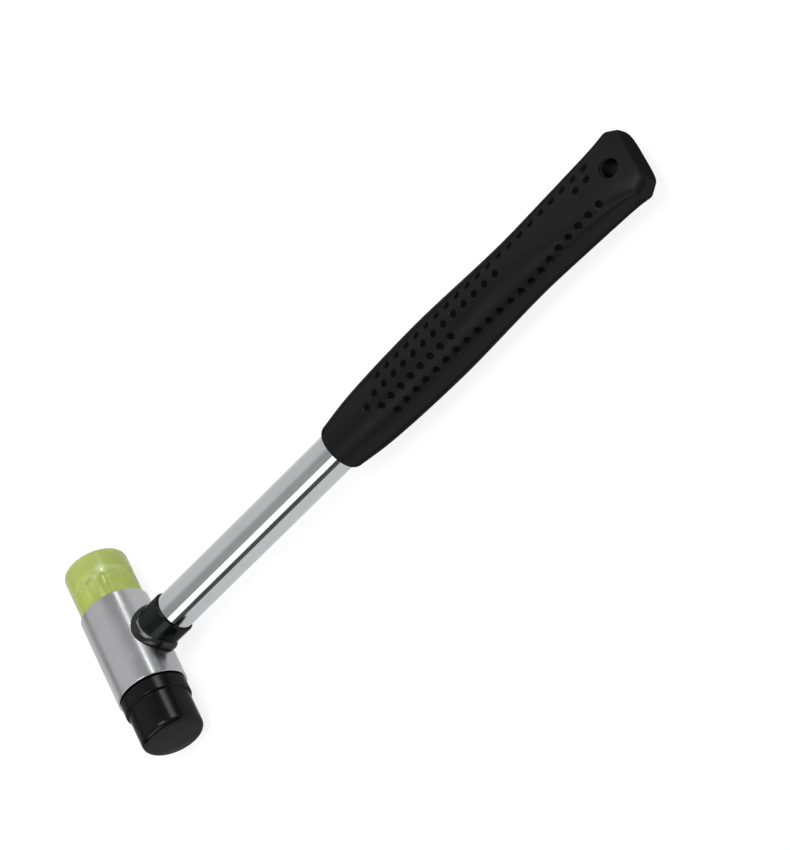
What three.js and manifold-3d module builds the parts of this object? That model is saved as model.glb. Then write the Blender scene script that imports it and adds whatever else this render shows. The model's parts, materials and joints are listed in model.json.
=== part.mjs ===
// A double-faced soft hammer: a steel barrel with a screw-in rubber face at one end and a screw-in
// plastic face at the other, on a chromed tube handle with a moulded grip.
//
// Millimetres, +Z up, the hammer lying flat. While it is built the origin is where the head's axis (Y,
// plastic face towards +Y) crosses the handle's axis (X, grip towards +X). At the end the whole hammer
// is moved so that the origin lies under the middle of its box, on the surface that it lies on.

import * as THREE from 'three';
import { LoftGeometry } from 'three/addons/geometries/LoftGeometry.js';
import { mergeVertices } from 'three/addons/utils/BufferGeometryUtils.js';
import Module from 'manifold-3d';

const wasm = await Module();
wasm.setup();

// Fits
const FIT = 0.25; // gap all round a piece that is pressed, screwed or slipped into another
const SEAT = 0.25; // gap left where one piece comes to rest against another

// Head
const BARREL_DIAMETER = 25;
const BARREL_LENGTH = 35;
const BARREL_CHAMFER = 0.5;
const CROSS_WALL = 1.8; // steel left between the peg's hole and the end of each stud's hole
const STUD_HOLE_SPARE = 0.5; // depth of each stud's hole past the stud's end

// Rubber face
const RUBBER_DIAMETER = 22.2;
const RUBBER_FLANGE_DIAMETER = 23.8;
const RUBBER_FLANGE_LENGTH = 5.4;
const RUBBER_FLANGE_ROUND = 0.6;

// Plastic face
const PLASTIC_DIAMETER = 22.9;
const PLASTIC_SEAT_CHAMFER = 0.4;

// Both faces
const FACE_LENGTH = 19; // from the seat on the barrel to the rim of the striking end
const FACE_CROWN = 0.8; // how far the striking end swells past its rim
const FACE_ROUND = 2.2; // radius of the rim

// Studs
const STUD_DIAMETER = 8;
const STUD_POINT = 0.8; // chamfer at the end in the barrel
const STUD_COVER = 4.4; // face material between the top of the stud's head and the rim's plane
const STUD_HEAD_DIAMETER = 12;
const STUD_HEAD_RIM = 1.4; // thickness of the head at its edge
const STUD_HEAD_CROWN = 1.8; // height of the head's dome

// Tube, peg and pin
const TUBE_DIAMETER = 14.3;
const TUBE_WALL = 1.2;
const TUBE_CHAMFER = 0.3;
const PEG_PAST_AXIS = 5; // how far the peg goes into the barrel past the head's axis
const PEG_IN_TUBE = 12;
const PEG_CHAMFER = 0.6;
const PIN_DIAMETER = 3;
const PIN_WALL = 0.55;
const PIN_SLOT = 0.7;
const PIN_SETBACK = 5.2; // from the tube's end at the head to the pin's axis

// Collar
const COLLAR_HEIGHT = 9.4; // from the barrel's crown to the collar's end on the tube
const COLLAR_LIP_WALL = 1.7; // wall thickness round the tube at the lip
const COLLAR_LIP_HEIGHT = 1.7;
const COLLAR_BASE_WALL = 0.95; // where the cone rises from the lip
const COLLAR_NECK_WALL = 0.6;
const COLLAR_ROUND = 0.4; // on the edges of the lip and the neck

// Grip
const HANDLE_LENGTH = 257; // from the head's axis to the butt
const GRIP_LENGTH = 146.5;
const FRONT_ROUND = 0.7;
const FRONT_WALL = 1.3; // wall thickness round the tube at the front
const SHOULDER_FROM_FRONT = 15;
const SHOULDER_WALL = 2.95;
const SWELL_FROM_FRONT = 49;
const SWELL_WALL = 4.1;
const WAIST_FROM_BUTT = 48;
const WAIST_WALL = 3.2;
const FLARE_FROM_BUTT = 11;
const FLARE_HALF_WIDTH = 12.2;
const FLARE_HALF_HEIGHT = 7;
const CORNER_FROM_BUTT = 4.3; // where the butt's corners start to be cut
const CORNER_HALF_WIDTH = 13.4;
const CORNER_HALF_HEIGHT = 5.6;
const BUTT_HALF_WIDTH = 10.8;
const BUTT_HALF_HEIGHT = 4.4;
const FLAT_SQUARING = 3; // how quickly a section turns from round to square as it flattens
const HANG_HOLE_DIAMETER = 6.2;
const HANG_HOLE_FROM_BUTT = 7.5;

// Dimples in the grip's upper side; the same again, turned half round, in its underside
const DIMPLE_DIAMETER = 2.6;
const DIMPLE_FLOOR_DIAMETER = 1.8;
const DIMPLE_DEPTH = 0.8;
const DIMPLE_PITCH = 5;
const DIMPLE_SIDES = 5;
// Runs of dimples: how far a run lies to the plastic face's side of the axis up to the waist, and at
// the flare, to which it bends; how far its first dimple is from the grip's front; how many it has.
const DIMPLE_RUNS = [
  [3.3, 6.8, 31.5, 21],
  [-1.35, 2.8, 27.5, 13],
  [-1.35, 2.8, 125.6, 2],
  [-2.9, -2.9, 22.1, 1],
  [-5.8, -5.8, 26.9, 8],
  [-9.3, -7.6, 29.8, 21],
];

// Plug in the tube's far end
const TUBE_FROM_BUTT = 36;
const PLUG_RIM = 1.6;
const PLUG_LENGTH = 9;

// Facets
const ROUND_STEPS = 44;
const SMALL_STEPS = 24;
const ARC_STEPS = 5;
const GRIP_STEPS = 32;
const GRIP_STATIONS = 26;
const OUTLINE_POINTS = 200; // on the grip's outline, where a size between stations is looked up
const MERGE = 1e-4; // points closer than this are one point

// Places that follow from the sizes
const BARREL_RADIUS = BARREL_DIAMETER / 2;
const TUBE_RADIUS = TUBE_DIAMETER / 2;
const TUBE_BORE_RADIUS = TUBE_RADIUS - TUBE_WALL;
const PEG_RADIUS = TUBE_BORE_RADIUS - FIT;
const SLEEVE_RADIUS = TUBE_RADIUS + FIT; // bore of what is slipped over the tube
const STUD_RADIUS = STUD_DIAMETER / 2;
const HEAD_END = BARREL_LENGTH / 2;
const FACE_SEAT = HEAD_END + SEAT;
const FACE_RIM = FACE_SEAT + FACE_LENGTH;
const STUD_HOLE_END = PEG_RADIUS + FIT + CROSS_WALL;
const TUBE_START = BARREL_RADIUS + SEAT;
const TUBE_END = HANDLE_LENGTH - TUBE_FROM_BUTT;
const PIN_PLACE = TUBE_START + PIN_SETBACK;
const GRIP_FRONT = HANDLE_LENGTH - GRIP_LENGTH;
const PLUG_END = TUBE_END + SEAT + PLUG_RIM;

// A closed geometry as a solid that can be joined to others and cut by them.
function solid(geometry) {
  const bare = new THREE.BufferGeometry();
  bare.setAttribute('position', geometry.getAttribute('position'));
  bare.setIndex(geometry.getIndex());
  const merged = mergeVertices(bare, MERGE);
  return new wasm.Manifold(
    new wasm.Mesh({
      numProp: 3,
      vertProperties: new Float32Array(merged.attributes.position.array),
      triVerts: new Uint32Array(merged.index.array),
    }),
  );
}

// A solid's faces as a geometry.
function faces(body) {
  const mesh = body.getMesh();
  const geometry = new THREE.BufferGeometry();
  geometry.setAttribute('position', new THREE.BufferAttribute(mesh.vertProperties, 3));
  geometry.setIndex(new THREE.BufferAttribute(mesh.triVerts, 1));
  geometry.computeVertexNormals();
  return geometry;
}

// A profile of [radius, place] pairs turned about the head's axis.
function turned(profile, steps = ROUND_STEPS) {
  return new THREE.LatheGeometry(
    profile.map(([radius, place]) => new THREE.Vector2(radius, place)),
    steps,
  );
}

// The same about the handle's axis.
function turnedOnHandle(profile, steps = ROUND_STEPS) {
  return turned(profile, steps).rotateZ(-Math.PI / 2);
}

// A plain round bar along the head's axis, from one place to another, for holes.
function barOnHead(radius, from, to, steps = SMALL_STEPS) {
  return solid(turned([[0, from], [radius, from], [radius, to], [0, to]], steps));
}

// The striking end of a face: a round rim, then a shallow crown that meets the axis.
function strikingEnd(radius) {
  const points = [];
  for (let i = 0; i <= ARC_STEPS; i++) {
    const angle = (i / ARC_STEPS) * (Math.PI / 2);
    points.push([
      radius - FACE_ROUND + FACE_ROUND * Math.cos(angle),
      FACE_RIM - FACE_ROUND + FACE_ROUND * Math.sin(angle),
    ]);
  }
  const flat = radius - FACE_ROUND;
  for (let i = ARC_STEPS - 1; i >= 0; i--) {
    const share = i / ARC_STEPS;
    points.push([flat * share, FACE_RIM + FACE_CROWN * (1 - share * share)]);
  }
  return points;
}

// A stud's outline from the end in the barrel to the middle of the dome on its head. Spare is what a
// pocket for the stud has all round it.
function studOutline(from, spare) {
  const shank = STUD_RADIUS + spare;
  const head = STUD_HEAD_DIAMETER / 2 + spare;
  const top = FACE_RIM - STUD_COVER + spare;
  const rim = top - STUD_HEAD_CROWN;
  const under = rim - STUD_HEAD_RIM - 2 * spare;
  const outline = [[shank, from], [shank, under], [head, under], [head, rim]];
  for (let i = 1; i <= ARC_STEPS; i++) {
    const angle = (i / ARC_STEPS) * (Math.PI / 2);
    outline.push([head * Math.cos(angle), rim + STUD_HEAD_CROWN * Math.sin(angle)]);
  }
  outline[outline.length - 1][0] = 0;
  return outline;
}

// A headed stud at the +Y end of the head.
function studGeometry() {
  const end = STUD_HOLE_END + STUD_HOLE_SPARE;
  return turned([
    [0, end],
    [STUD_RADIUS - STUD_POINT, end],
    ...studOutline(end + STUD_POINT, 0),
  ], SMALL_STEPS);
}

// A face at the +Y end of the head: the sides run from the seat to the striking end, and the pocket
// for the stud's head is moulded inside, open at the seat.
function faceGeometry(sides, radius) {
  const pocket = studOutline(FACE_SEAT, FIT).reverse();
  return turned([...pocket, ...sides, ...strikingEnd(radius)]);
}

function rubberFaceGeometry() {
  const flange = RUBBER_FLANGE_DIAMETER / 2;
  const step = FACE_SEAT + RUBBER_FLANGE_LENGTH;
  const sides = [
    [flange - RUBBER_FLANGE_ROUND, FACE_SEAT],
    [flange, FACE_SEAT + RUBBER_FLANGE_ROUND],
    [flange, step - RUBBER_FLANGE_ROUND],
    [flange - RUBBER_FLANGE_ROUND, step],
    [RUBBER_DIAMETER / 2, step],
  ];
  return faceGeometry(sides, RUBBER_DIAMETER / 2);
}

function plasticFaceGeometry() {
  const radius = PLASTIC_DIAMETER / 2;
  const sides = [
    [radius - PLASTIC_SEAT_CHAMFER, FACE_SEAT],
    [radius, FACE_SEAT + PLASTIC_SEAT_CHAMFER],
  ];
  return faceGeometry(sides, radius);
}

// The barrel, with a blind hole in each end for a stud and one across it for the peg.
function barrelGeometry() {
  const inner = BARREL_RADIUS - BARREL_CHAMFER;
  const edge = HEAD_END - BARREL_CHAMFER;
  const body = solid(turned([
    [0, -HEAD_END],
    [inner, -HEAD_END],
    [BARREL_RADIUS, -edge],
    [BARREL_RADIUS, edge],
    [inner, HEAD_END],
    [0, HEAD_END],
  ]));
  const pegHole = solid(turnedOnHandle([
    [0, -PEG_PAST_AXIS - SEAT],
    [PEG_RADIUS + FIT, -PEG_PAST_AXIS - SEAT],
    [PEG_RADIUS + FIT, BARREL_DIAMETER],
    [0, BARREL_DIAMETER],
  ], SMALL_STEPS));
  const studHole = barOnHead(STUD_RADIUS + FIT, STUD_HOLE_END, BARREL_LENGTH);
  const otherHole = barOnHead(STUD_RADIUS + FIT, -BARREL_LENGTH, -STUD_HOLE_END);
  return faces(body.subtract(pegHole).subtract(studHole).subtract(otherHole));
}

// What the spring pin passes through is drilled along the head's axis at the pin's place.
function pinHole() {
  const hole = turned([
    [0, -TUBE_DIAMETER],
    [PIN_DIAMETER / 2 + FIT, -TUBE_DIAMETER],
    [PIN_DIAMETER / 2 + FIT, TUBE_DIAMETER],
    [0, TUBE_DIAMETER],
  ], SMALL_STEPS);
  return solid(hole.translate(PIN_PLACE, 0, 0));
}

function pegGeometry() {
  const end = TUBE_START + PEG_IN_TUBE;
  const nose = PEG_RADIUS - PEG_CHAMFER;
  const peg = solid(turnedOnHandle([
    [0, -PEG_PAST_AXIS],
    [nose, -PEG_PAST_AXIS],
    [PEG_RADIUS, -PEG_PAST_AXIS + PEG_CHAMFER],
    [PEG_RADIUS, end - PEG_CHAMFER],
    [nose, end],
    [0, end],
  ], SMALL_STEPS));
  return faces(peg.subtract(pinHole()));
}

function tubeGeometry() {
  const edge = TUBE_RADIUS - TUBE_CHAMFER;
  const tube = solid(turnedOnHandle([
    [TUBE_BORE_RADIUS, TUBE_START],
    [edge, TUBE_START],
    [TUBE_RADIUS, TUBE_START + TUBE_CHAMFER],
    [TUBE_RADIUS, TUBE_END - TUBE_CHAMFER],
    [edge, TUBE_END],
    [TUBE_BORE_RADIUS, TUBE_END],
    [TUBE_BORE_RADIUS, TUBE_START],
  ]));
  return faces(tube.subtract(pinHole()));
}

// The spring pin: a rolled strip, drawn as a ring with a slot and as long as the tube is thick.
function pinGeometry() {
  const outer = PIN_DIAMETER / 2;
  const inner = outer - PIN_WALL;
  const gap = Math.asin(PIN_SLOT / PIN_DIAMETER);
  const innerGap = Math.asin(PIN_SLOT / (2 * inner));
  const ring = new THREE.Shape();
  ring.absarc(0, 0, outer, gap, 2 * Math.PI - gap, false);
  ring.absarc(0, 0, inner, 2 * Math.PI - innerGap, innerGap, true);
  ring.closePath();
  const length = TUBE_DIAMETER - 2 * FIT;
  const pin = new THREE.ExtrudeGeometry(ring, {
    depth: length,
    bevelEnabled: false,
    curveSegments: SMALL_STEPS / 2,
  });
  return pin.translate(0, 0, -length / 2).rotateX(Math.PI / 2).translate(PIN_PLACE, 0, 0);
}

function plugGeometry() {
  const spigot = TUBE_BORE_RADIUS - FIT;
  const start = PLUG_END - PLUG_LENGTH;
  const rim = PLUG_END - PLUG_RIM;
  return turnedOnHandle([
    [0, start],
    [spigot - TUBE_CHAMFER, start],
    [spigot, start + TUBE_CHAMFER],
    [spigot, rim],
    [TUBE_RADIUS - TUBE_CHAMFER, rim],
    [TUBE_RADIUS - TUBE_CHAMFER, PLUG_END],
    [0, PLUG_END],
  ], SMALL_STEPS);
}

// One ring of points across the handle. Where half width and half height differ the ring is a
// squared-off oval, the flatter the squarer; where they are alike it is a circle.
function section(place, halfWidth, halfHeight) {
  const power = 2 / (2 + FLAT_SQUARING * (1 - halfHeight / halfWidth));
  const points = [];
  for (let i = 0; i < GRIP_STEPS; i++) {
    const angle = (i / GRIP_STEPS) * 2 * Math.PI;
    const across = Math.cos(angle);
    const up = Math.sin(angle);
    points.push(new THREE.Vector3(
      place,
      halfWidth * Math.sign(across) * Math.abs(across) ** power,
      halfHeight * Math.sign(up) * Math.abs(up) ** power,
    ));
  }
  return points;
}

// The grip's outline: place along the handle, half width and half height, on one smooth curve from
// the front's round edge to the corners of the butt.
const roundAt = (place, wall) => new THREE.Vector3(place, SLEEVE_RADIUS + wall, SLEEVE_RADIUS + wall);
const gripOutline = new THREE.CatmullRomCurve3([
  roundAt(GRIP_FRONT + FRONT_ROUND, FRONT_WALL),
  roundAt(GRIP_FRONT + SHOULDER_FROM_FRONT, SHOULDER_WALL),
  roundAt(GRIP_FRONT + SWELL_FROM_FRONT, SWELL_WALL),
  roundAt(HANDLE_LENGTH - WAIST_FROM_BUTT, WAIST_WALL),
  new THREE.Vector3(HANDLE_LENGTH - FLARE_FROM_BUTT, FLARE_HALF_WIDTH, FLARE_HALF_HEIGHT),
  new THREE.Vector3(HANDLE_LENGTH - CORNER_FROM_BUTT, CORNER_HALF_WIDTH, CORNER_HALF_HEIGHT),
]);

// Half width and half height of the grip's outside at a place along the handle.
const outlinePoints = gripOutline.getSpacedPoints(OUTLINE_POINTS);
function gripSize(place) {
  const next = outlinePoints.findIndex((p) => p.x > place);
  const from = outlinePoints[next - 1];
  const to = outlinePoints[next];
  const size = from.clone().lerp(to, (place - from.x) / (to.x - from.x));
  return [size.y, size.z];
}

// What a dimple takes out of the upper side: a short plug with flat sides, square to the surface, that
// narrows to the dimple's floor and stands as far above the surface as it goes below.
function dimplePlug(place, across) {
  const [halfWidth, halfHeight] = gripSize(place);
  const power = 2 + FLAT_SQUARING * (1 - halfHeight / halfWidth);
  const aside = Math.abs(across) / halfWidth;
  const up = (1 - aside ** power) ** (1 / power);
  const slope = new THREE.Vector3(
    0,
    (Math.sign(across) * aside ** (power - 1)) / halfWidth,
    up ** (power - 1) / halfHeight,
  ).normalize();
  const plug = new THREE.CylinderGeometry(
    DIMPLE_DIAMETER - DIMPLE_FLOOR_DIAMETER / 2,
    DIMPLE_FLOOR_DIAMETER / 2,
    2 * DIMPLE_DEPTH,
    DIMPLE_SIDES,
  );
  const square = new THREE.Quaternion().setFromUnitVectors(new THREE.Vector3(0, 1, 0), slope);
  return plug.applyQuaternion(square).translate(place, across, halfHeight * up);
}

// All the dimples' plugs, on both sides, as one solid. Runs end where the flare does.
function dimplePlugs() {
  const waist = HANDLE_LENGTH - WAIST_FROM_BUTT;
  const flare = HANDLE_LENGTH - FLARE_FROM_BUTT;
  const plugs = [];
  for (const [acrossWaist, acrossFlare, first, count] of DIMPLE_RUNS) {
    for (let i = 0; i < count; i++) {
      const place = GRIP_FRONT + first + i * DIMPLE_PITCH;
      if (place < flare) {
        const bend = THREE.MathUtils.clamp((place - waist) / (flare - waist), 0, 1);
        const plug = dimplePlug(place, THREE.MathUtils.lerp(acrossWaist, acrossFlare, bend));
        plugs.push(solid(plug), solid(plug.clone().rotateX(Math.PI)));
      }
    }
  }
  return wasm.Manifold.union(plugs);
}

// The grip is lofted from the blind end of its bore out to the front and back along the outside.
function gripGeometry() {
  const edge = SLEEVE_RADIUS + FRONT_WALL - FRONT_ROUND;
  const boreEnd = section(PLUG_END + SEAT, SLEEVE_RADIUS, SLEEVE_RADIUS);
  const outside = gripOutline.getSpacedPoints(GRIP_STATIONS);
  const body = solid(new LoftGeometry([
    boreEnd.map((p) => new THREE.Vector3(p.x, 0, 0)),
    boreEnd,
    section(GRIP_FRONT, SLEEVE_RADIUS, SLEEVE_RADIUS),
    section(GRIP_FRONT, edge, edge),
    ...outside.map((p) => section(p.x, p.y, p.z)),
    section(HANDLE_LENGTH, BUTT_HALF_WIDTH, BUTT_HALF_HEIGHT),
  ], { capEnd: true }));
  const hole = new THREE.CylinderGeometry(
    HANG_HOLE_DIAMETER / 2,
    HANG_HOLE_DIAMETER / 2,
    2 * FLARE_HALF_WIDTH,
    SMALL_STEPS,
  );
  hole.rotateX(Math.PI / 2).translate(HANDLE_LENGTH - HANG_HOLE_FROM_BUTT, 0, 0);
  return faces(body.subtract(solid(hole)).subtract(dimplePlugs()));
}

// The collar is one closed loop of rings. Those at the lip follow the barrel's round side, those at
// the neck lie flat across the tube.
function collarGeometry() {
  const lip = SLEEVE_RADIUS + COLLAR_LIP_WALL;
  const base = SLEEVE_RADIUS + COLLAR_BASE_WALL;
  const neck = SLEEVE_RADIUS + COLLAR_NECK_WALL;
  const end = BARREL_RADIUS + SEAT + COLLAR_HEIGHT;
  const onBarrel = (radius, above) => {
    const seat = BARREL_RADIUS + SEAT;
    return section(0, radius, radius).map((p) => p.setX(Math.sqrt(seat ** 2 - p.z ** 2) + above));
  };
  const loop = [
    onBarrel(SLEEVE_RADIUS, 0),
    onBarrel(lip - COLLAR_ROUND, 0),
    onBarrel(lip, COLLAR_ROUND),
    onBarrel(lip, COLLAR_LIP_HEIGHT - COLLAR_ROUND),
    onBarrel(lip - COLLAR_ROUND, COLLAR_LIP_HEIGHT),
    onBarrel(base, COLLAR_LIP_HEIGHT),
    section(end - COLLAR_ROUND, neck, neck),
    section(end, neck - COLLAR_ROUND, neck - COLLAR_ROUND),
    section(end, SLEEVE_RADIUS, SLEEVE_RADIUS),
  ];
  return new LoftGeometry([...loop, loop[0]]);
}

// Finishes
const finish = (color, roughness, metalness) =>
  new THREE.MeshStandardMaterial({ color, roughness, metalness });
const satinSteel = finish(0xb4b4b4, 0.35, 1);
const brightChrome = finish(0xd8dadb, 0.12, 1);
const plainSteel = finish(0x9a9a98, 0.45, 1);
const blackRubber = finish(0x1b1b1b, 0.55, 0);
const limePlastic = new THREE.MeshStandardMaterial({
  color: 0xaabe50,
  roughness: 0.25,
  metalness: 0,
  transparent: true,
  opacity: 0.8,
});
const blackPlastic = finish(0x232626, 0.35, 0);
const gripRubber = finish(0x1e2022, 0.6, 0);
const greyPlastic = finish(0x55585a, 0.5, 0);

const hammer = new THREE.Group();

function piece(name, geometry, material, parent = hammer) {
  const mesh = new THREE.Mesh(geometry, material);
  mesh.name = name;
  parent.add(mesh);
}

// The rubber face and its stud are drawn at the +Y end and given half a turn to the -Y end.
const rubberEnd = new THREE.Group();
rubberEnd.rotation.z = Math.PI;
hammer.add(rubberEnd);

piece('head_barrel', barrelGeometry(), satinSteel);
piece('rubber_face', rubberFaceGeometry(), blackRubber, rubberEnd);
piece('rubber_face_stud', studGeometry(), plainSteel, rubberEnd);
piece('plastic_face', plasticFaceGeometry(), limePlastic);
piece('plastic_face_stud', studGeometry(), plainSteel);
piece('neck_peg', pegGeometry(), plainSteel);
piece('neck_pin', pinGeometry(), plainSteel);
piece('handle_tube', tubeGeometry(), brightChrome);
piece('neck_collar', collarGeometry(), blackPlastic);
piece('grip', gripGeometry(), gripRubber);
piece('tube_plug', plugGeometry(), greyPlastic);

// The hammer is laid with the middle of its underside at the origin.
const box = new THREE.Box3().setFromObject(hammer, true);
const middle = box.getCenter(new THREE.Vector3());
const laid = new THREE.Group();
hammer.position.set(-middle.x, -middle.y, -box.min.z);
laid.add(hammer);

export default laid;
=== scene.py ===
# %% [markdown]
# # A double-faced soft hammer, dressed for the camera
# The hammer is a steel barrel with a screw-in face at each end, black rubber on one side and clear
# lime plastic on the other. A chromed tube carries it, with a collar at the neck and a moulded grip.
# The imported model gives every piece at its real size, but with flat facets. This lesson replaces each
# piece that shows with a smooth surface worked out as an array, and gives each surface its finish.

# %% Load the frame
import json
import math

import bpy
import numpy as np
from mathutils import Matrix, Vector


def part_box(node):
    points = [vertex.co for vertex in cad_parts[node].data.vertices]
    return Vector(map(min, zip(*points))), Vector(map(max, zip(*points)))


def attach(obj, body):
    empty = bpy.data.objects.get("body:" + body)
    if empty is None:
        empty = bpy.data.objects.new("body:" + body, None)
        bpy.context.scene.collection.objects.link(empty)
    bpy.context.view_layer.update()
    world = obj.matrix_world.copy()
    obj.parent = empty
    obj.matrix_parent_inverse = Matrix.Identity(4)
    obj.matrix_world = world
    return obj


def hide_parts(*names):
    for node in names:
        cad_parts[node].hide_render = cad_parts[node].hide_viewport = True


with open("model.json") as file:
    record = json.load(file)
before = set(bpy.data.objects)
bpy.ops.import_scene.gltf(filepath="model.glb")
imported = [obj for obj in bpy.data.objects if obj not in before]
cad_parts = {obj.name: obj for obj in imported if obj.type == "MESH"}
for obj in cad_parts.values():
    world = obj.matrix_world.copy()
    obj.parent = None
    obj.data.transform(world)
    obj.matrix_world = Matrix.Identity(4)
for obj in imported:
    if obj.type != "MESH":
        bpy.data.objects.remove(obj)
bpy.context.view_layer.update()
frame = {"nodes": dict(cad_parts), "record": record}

MM = 0.001
print("nodes:", ", ".join(sorted(frame["nodes"])))

# %% [markdown]
# ## Two axes
# Everything on the hammer lies round one of two lines: the head's axis, along Y, and the handle's axis,
# along X. They cross in the middle of the barrel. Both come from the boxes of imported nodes, so the
# looks follow the model if its sizes change.

# %% Find the axes
barrel_low, barrel_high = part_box("head_barrel")
tube_low, tube_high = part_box("handle_tube")
HEAD_X = (barrel_low.x + barrel_high.x) / 2
AXIS_Z = (tube_low.z + tube_high.z) / 2
BARREL_RADIUS = (barrel_high.x - barrel_low.x) / 2
BARREL_HALF = (barrel_high.y - barrel_low.y) / 2
TUBE_RADIUS = (tube_high.z - tube_low.z) / 2
print(f"head axis at x = {HEAD_X:.4f}, both axes at z = {AXIS_Z:.4f}")

# %% [markdown]
# ## From an array to a mesh
# A closed surface can be stored as a stack of rings, one row of the array for each ring. Four
# neighbours make a quad, so all the faces follow from the row and column numbers, with no loop over
# vertices. A stack may end in a point, a pole, or join its last ring to its first. The signed volume
# tells whether the faces point outwards.


# %% Skin a stack of rings
def skin(name, rings, poles=(None, None), loop=False, sharp_degrees=35.0):
    """Joins ring i to ring i+1 by quads, and each pole to the ring beside it by a fan of triangles.
    The volume is a sixth of the sum of a . (b x c) over the triangles; if it is negative, faces turn."""
    count, steps, _ = rings.shape
    i, j = np.meshgrid(np.arange(count if loop else count - 1), np.arange(steps), indexing="ij")
    above, beside = (i + 1) % count, (j + 1) % steps
    corners = (i * steps + j, i * steps + beside, above * steps + beside, above * steps + j)
    quads = np.stack(corners, axis=-1).reshape(-1, 4)
    points = rings.reshape(-1, 3)
    column = np.arange(steps)
    following = (column + 1) % steps
    fans = np.empty((0, 3), int)
    for pole, first, turn in ((poles[0], 0, -1), (poles[1], (count - 1) * steps, 1)):
        if pole is not None:
            tip = np.full(steps, len(points))
            fan = np.stack((first + column, first + following, tip), axis=-1)[:, ::turn]
            fans = np.vstack((fans, fan))
            points = np.vstack((points, pole))
    thirds = np.vstack((quads[:, [0, 1, 2]], quads[:, [0, 2, 3]], fans))
    a, b, c = (points[thirds[:, k]] for k in range(3))
    volume = np.einsum("ij,ij->i", a, np.cross(b, c)).sum() / 6
    if volume < 0:
        quads, fans = quads[:, ::-1], fans[:, ::-1]
    mesh = bpy.data.meshes.new(name)
    mesh.from_pydata(points.tolist(), [], quads.tolist() + fans.tolist())
    mesh.polygons.foreach_set("use_smooth", np.ones(len(mesh.polygons), bool))
    mesh.set_sharp_from_angle(angle=math.radians(sharp_degrees))
    piece = bpy.data.objects.new(name, mesh)
    bpy.context.scene.collection.objects.link(piece)
    print(f"{name}: {len(quads) + len(fans)} faces, {abs(volume) * 1e6:.2f} cm3")
    return piece


# %% [markdown]
# ## Profiles with rounded corners
# A turned or moulded piece is drawn as half an outline and carried round its axis. The outline here is
# a list of corners, each with its own rounding. An arc replaces each corner, touching both sides. Long
# straight stretches get extra points, because a smooth shade spreads over a whole quad and the arc's
# shading would otherwise leak along the piece.


# %% Round a profile and turn it
ARC_STEPS = 8
ROUND_STEPS = 128


def rounded(corners, spacing=1.0 * MM):
    """corners are rows of radius, place, rounding. With half the corner's angle h, the arc's centre
    lies rounding / sin h along the bisector, and the arc meets each side rounding / tan h away."""
    corners = np.array(corners, float)
    path = [corners[0, :2]]
    for before, (radius, place, rounding), after in zip(corners, corners[1:], corners[2:]):
        corner = np.array((radius, place))
        if rounding == 0:
            path.append(corner)
            continue
        back = (before[:2] - corner) / np.linalg.norm(before[:2] - corner)
        ahead = (after[:2] - corner) / np.linalg.norm(after[:2] - corner)
        half = math.acos(np.clip(back @ ahead, -1, 1)) / 2
        centre = corner + (back + ahead) / np.linalg.norm(back + ahead) * rounding / math.sin(half)
        start = corner + back * rounding / math.tan(half) - centre
        stop = corner + ahead * rounding / math.tan(half) - centre
        sweep = math.pi - 2 * half
        share = np.linspace(0, 1, ARC_STEPS + 1)[:, None]
        arc = (np.sin((1 - share) * sweep) * start + np.sin(share * sweep) * stop) / math.sin(sweep)
        path.extend(centre + arc)
    path.append(corners[-1, :2])
    path = np.array(path)
    length = np.linalg.norm(np.diff(path, axis=0), axis=1)
    parts = np.maximum(1, np.ceil(length / spacing)).astype(int)
    dense = [p + (q - p) * np.arange(n)[:, None] / n for p, q, n in zip(path, path[1:], parts)]
    return np.vstack(dense + [path[-1:]])


def round_head(profile):
    """A point (r, s) goes to x = HEAD_X + r cos t, y = s, z = AXIS_Z + r sin t for every angle t."""
    t = np.linspace(0, 2 * np.pi, ROUND_STEPS, endpoint=False)
    r, s = profile[:, :1], profile[:, 1:]
    return np.stack((HEAD_X + r * np.cos(t), s + 0 * t, AXIS_Z + r * np.sin(t)), axis=-1)


def round_handle(profile):
    """A point (r, s) goes to x = HEAD_X + s, y = r cos t, z = AXIS_Z + r sin t for every angle t."""
    t = np.linspace(0, 2 * np.pi, ROUND_STEPS, endpoint=False)
    r, s = profile[:, :1], profile[:, 1:]
    return np.stack((HEAD_X + s + 0 * t, r * np.cos(t), AXIS_Z + r * np.sin(t)), axis=-1)


def turned_on_head(name, profile):
    """A profile from the axis to the axis, carried round the head: its two ends are the poles."""
    rings = round_head(profile[1:-1])
    poles = (Vector((HEAD_X, profile[0, 1], AXIS_Z)), Vector((HEAD_X, profile[-1, 1], AXIS_Z)))
    return skin(name, rings, poles)


# %% [markdown]
# ## Finishes
# A surface is never one flat colour. Each finish below starts from one shader, sets what is the same
# all over on the shader's own sockets, and lets noise move the colour, the roughness and the bump. The
# noise reads Object coordinates, in metres, so a scale of 1000 gives grains of about a millimetre.


# %% Make a finish with noise
EVEN = (1.0, 1.0, 1.0)


def new_finish(name, color, roughness, metallic=0.0, **sockets):
    """One Principled shader. Sockets are given by name, with _ for a space."""
    material = bpy.data.materials.new(name)
    material.use_nodes = True
    shader = material.node_tree.nodes["Principled BSDF"]
    shader.inputs["Base Color"].default_value = (*color, 1.0)
    shader.inputs["Roughness"].default_value = roughness
    shader.inputs["Metallic"].default_value = metallic
    for socket, value in sockets.items():
        shader.inputs[socket.replace("_", " ").title().replace("Ior", "IOR")].default_value = value
    return material


def add(material, kind, **values):
    """A new node, with its properties and its sockets' values set by name."""
    node = material.node_tree.nodes.new(kind)
    for key, value in values.items():
        if hasattr(node, key):
            setattr(node, key, value)
        else:
            node.inputs[key.replace("_", " ").title()].default_value = value
    return node


def join(material, output, target):
    """A wire from one node's output to another node's socket."""
    material.node_tree.links.new(output, target)


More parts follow.
